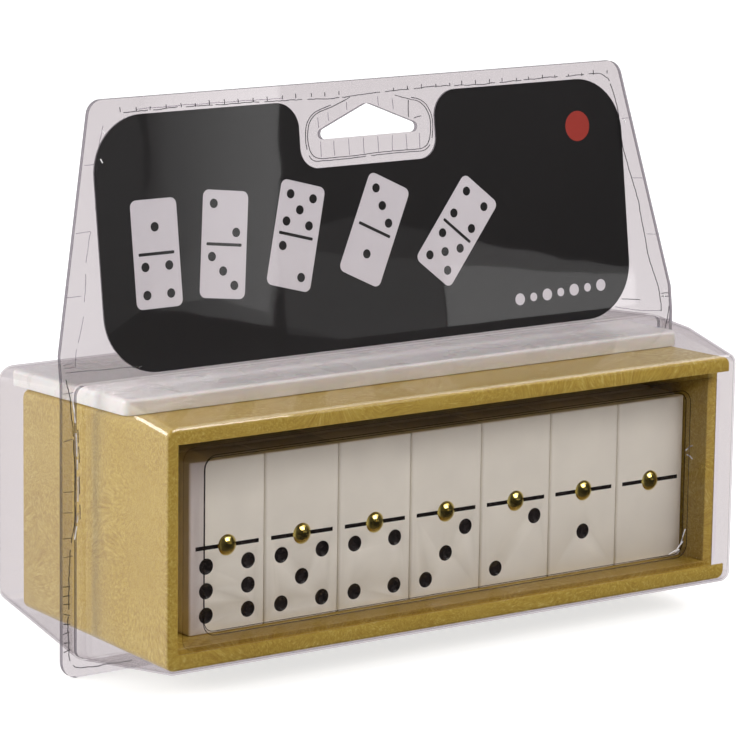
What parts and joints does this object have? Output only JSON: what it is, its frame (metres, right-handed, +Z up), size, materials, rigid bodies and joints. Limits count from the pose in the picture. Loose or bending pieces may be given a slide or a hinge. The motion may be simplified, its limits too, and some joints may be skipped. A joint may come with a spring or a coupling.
{
  "type": "domino storage box",
  "caption": "Oblong storage box with a sliding lid and dominoes with spinner pins, sealed in a clear two-part hang pack with a leaning header card.",
  "frame": {"origin": "under the middle of the pack, level with the lowest edge of its weld flange, halfway between the front shell's face and the rear shell's face", "axes": "+Z up the box and the header, +X along the box towards its right end, -Y out of the pocketed front"},
  "size_m": [0.2206, 0.0904, 0.1628],
  "materials": {
    "box_plastic": "swirled ochre, satin gloss",
    "lid_plastic": "translucent ivory, satin",
    "tile_plastic": "ivory with dark recessed pips, satin gloss",
    "pin_brass": "polished",
    "clear_plastic": "clear, glossy",
    "card": "printed, semi-matt"
  },
  "bodies": {
    "box": {"storage_box": "box_plastic"},
    "lid": {"sliding_lid": "lid_plastic"},
    "tile_layer_1": {"tile_0_6": "tile_plastic", "tile_0_5": "tile_plastic", "tile_0_4": "tile_plastic", "tile_0_3": "tile_plastic", "tile_0_2": "tile_plastic", "tile_0_1": "tile_plastic", "tile_0_0": "tile_plastic", "spinner_pins_1": "pin_brass"},
    "tile_layer_2": {"tile_1_6": "tile_plastic", "tile_1_5": "tile_plastic", "tile_1_4": "tile_plastic", "tile_1_3": "tile_plastic", "tile_1_2": "tile_plastic", "tile_1_1": "tile_plastic", "tile_2_6": "tile_plastic", "spinner_pins_2": "pin_brass"},
    "tile_layer_3": {"tile_2_5": "tile_plastic", "tile_2_4": "tile_plastic", "tile_2_3": "tile_plastic", "tile_2_2": "tile_plastic", "tile_3_6": "tile_plastic", "tile_3_5": "tile_plastic", "tile_3_4": "tile_plastic", "spinner_pins_3": "pin_brass"},
    "tile_layer_4": {"tile_3_3": "tile_plastic", "tile_4_6": "tile_plastic", "tile_4_5": "tile_plastic", "tile_4_4": "tile_plastic", "tile_5_6": "tile_plastic", "tile_5_5": "tile_plastic", "tile_6_6": "tile_plastic", "spinner_pins_4": "pin_brass"},
    "front_cover": {"front_shell": "clear_plastic"},
    "rear_cover": {"rear_shell": "clear_plastic", "header_card": "card"}
  },
  "joints": [
    {"name": "tile_layer_1_slide", "type": "slide", "parent": "box", "child": "tile_layer_1", "axis": [1, 0, 0], "range_m": [-0.0131, 0.0011]},
    {"name": "tile_layer_2_slide", "type": "slide", "parent": "box", "child": "tile_layer_2", "axis": [1, 0, 0], "range_m": [-0.0131, 0.0011]},
    {"name": "tile_layer_3_slide", "type": "slide", "parent": "box", "child": "tile_layer_3", "axis": [1, 0, 0], "range_m": [-0.0131, 0.0011]},
    {"name": "tile_layer_4_slide", "type": "slide", "parent": "box", "child": "tile_layer_4", "axis": [1, 0, 0], "range_m": [-0.0131, 0.0011]},
    {"name": "lid_play", "type": "slide", "parent": "box", "child": "lid", "axis": [1, 0, 0], "range_m": [-0.0012, 0.0012]},
    {"name": "front_cover_peel", "type": "slide", "parent": "box", "child": "front_cover", "axis": [0, -1, 0], "range_m": [0, 0.07]},
    {"name": "rear_cover_peel", "type": "slide", "parent": "box", "child": "rear_cover", "axis": [0, 1, 0], "range_m": [0, 0.06]}
  ]
}
